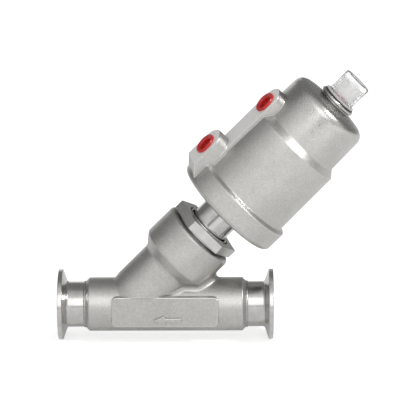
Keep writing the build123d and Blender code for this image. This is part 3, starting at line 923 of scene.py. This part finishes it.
# Clear cap over the position indicator, with frosted bore, flange and thread
def indicatorCap(setup):
    foot, top = alongStem("indicator_cap")
    seat = alongStem("cap_gasket")[1]
    flange = seat + setup["flangeHeight"]
    ceiling = top - setup["roof"]
    outer, wide, bore = setup["outer"], setup["flange"], setup["bore"]
    edge, soft, inside = setup["flangeEdge"], setup["topRound"], setup["boreEdge"]
    profile = [
        (bore, foot), (setup["thread"], foot), (setup["thread"], seat), (wide, seat),
        (wide, flange - edge), (wide - edge, flange), (outer, flange + setup["flangeLift"]),
        (outer, top - soft), (outer - 0.3 * soft, top - 0.3 * soft), (outer - soft, top), (0, top),
        (0, ceiling), (bore - inside, ceiling), (bore, ceiling - inside),
    ]
    piece = spunRing("indicatorCap", profile, setup["steps"])
    faces = piece.data.polygons
    frosted = [
        f.index for f in faces
        if f.center.xy.length < bore + 0.02 * mm and f.center.z < ceiling - 0.1 * mm
    ]
    matt = [f.index for f in faces if f.center.z < flange + 0.04 * mm]
    setDown(piece, stemPlace, finishOf["clear_plastic"], "actuator")
    piece.data.materials.append(clearPlastic("frostedPlastic", frostFinish))
    piece.data.materials.append(clearPlastic("mattPlastic", baseFinish))
    for slot, group in ((1, frosted), (2, matt)):
        for index in group:
            faces[index].material_index = slot
    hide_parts("indicator_cap")


indicatorCap(cap)
print("indicator cap made")

collar = {
    "inner": 10.85 * mm,
    "outer": 11.35 * mm,
    "below": 3.45 * mm,
    "above": 0.1 * mm,
    "edge": 0.12 * mm,
    "steps": 192,
}


# Thin collar round the bonnet tube, standing in the nut's recess
def nutCollar(setup):
    top = alongStem("bonnet_nut")[1]
    low, high = top - setup["below"], top + setup["above"]
    inner, outer, edge = setup["inner"], setup["outer"], setup["edge"]
    profile = [
        (inner, low), (outer, low), (outer, high - edge), (outer - 0.3 * edge, high - 0.3 * edge),
        (outer - edge, high), (inner + edge, high), (inner, high - edge),
    ]
    ring = spunRing("nutCollar", profile, setup["steps"])
    setDown(ring, stemPlace, finishOf["polished_steel"], "valve")


nutCollar(collar)
print("collar turned")

portThread = {
    "pitch": 0.907 * mm,  # 28 turns an inch
    "root": 4.38 * mm,
    "crest": 3.95 * mm,
    "flat": 0.12 * mm,
    "halfWidth": 0.42,  # of the pitch
    "stepsATurn": 48,
}


# Thread in an air port: a V ridge screwed down the bore
def cutThread(name, mount, setup):
    middle, away, facing, length = portOf(mount)
    pitch = setup["pitch"]
    turns = int((length - pitch) / pitch)
    bpy.ops.object.select_all(action="DESELECT")
    bpy.ops.mesh.primitive_circle_add(vertices=4, radius=mm)
    ridge = bpy.context.object
    ridge.name = name
    half, flat = setup["halfWidth"] * pitch, setup["flat"] / 2
    section = (
        (setup["root"], -half), (setup["crest"], -flat), (setup["crest"], flat), (setup["root"], half)
    )
    for point, (radius, height) in zip(ridge.data.vertices, section):
        point.co = (radius, 0, height - turns * pitch / 2)
    wind = ridge.modifiers.new("wind", "SCREW")
    wind.axis = "Z"
    wind.angle = 2 * pi
    wind.screw_offset = pitch
    wind.iterations = turns
    wind.steps = wind.render_steps = setup["stepsATurn"]
    wind.use_smooth_shade = False
    applyAll(ridge)
    bpy.ops.object.mode_set(mode="EDIT")
    bpy.ops.mesh.select_all(action="DESELECT")
    bpy.ops.mesh.select_mode(type="EDGE")
    bpy.ops.mesh.select_non_manifold()
    bpy.ops.mesh.edge_face_add()
    bpy.ops.object.mode_set(mode="OBJECT")
    closeUp(ridge, 40)
    place = Matrix.Translation(middle) @ facing
    setDown(ridge, place, finishOf["machined_steel"], "actuator")


cutThread("lowerPortThread", "lower_air_port", portThread)
cutThread("upperPortThread", "upper_air_port", portThread)
print("port threads cut")


# Coil of the solid's own shape, set on the actuator with a mesh of its own
def pressedSpring(name, node):
    coil = bpy.data.objects.new(name, nodes[node].data.copy())
    bpy.context.scene.collection.objects.link(coil)
    closeUp(coil)
    setDown(coil, Matrix.Identity(4), finishOf[slotOf[node]], "actuator")
    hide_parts(node)
    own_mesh(coil)


pressedSpring("outerCoil", "outer_spring")
pressedSpring("innerCoil", "inner_spring")
print("springs set")

bpy.context.view_layer.update()
